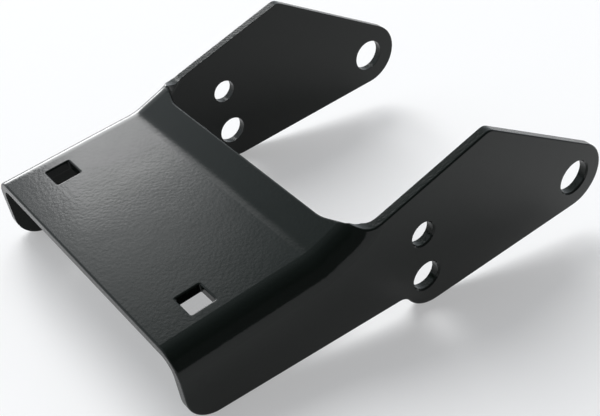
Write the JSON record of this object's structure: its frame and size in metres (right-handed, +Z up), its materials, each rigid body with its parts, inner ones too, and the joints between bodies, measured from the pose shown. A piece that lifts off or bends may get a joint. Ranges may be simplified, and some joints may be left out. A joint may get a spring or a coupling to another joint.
{
  "type": "folded sheet steel bracket",
  "caption": "Channel bracket folded from sheet steel, with square bolt holes in its web, a kicked-up ramp, and arms whose round ears carry a cross pin.",
  "frame": {"origin": "centre of the footprint, on the level surface that the bracket rests on", "axes": "+X across the width, square to both flanges; +Y back along the arms towards the ears; +Z up as the bracket rests on its front corners and the arms' bellies, with the web 10.4 degrees from level"},
  "size_m": [0.1142, 0.1746, 0.0591],
  "materials": {
    "black_coated_steel": "satin-gloss black coating with fine orange peel"
  },
  "bodies": {
    "root": {"bracket": "black_coated_steel"}
  },
  "joints": []
}
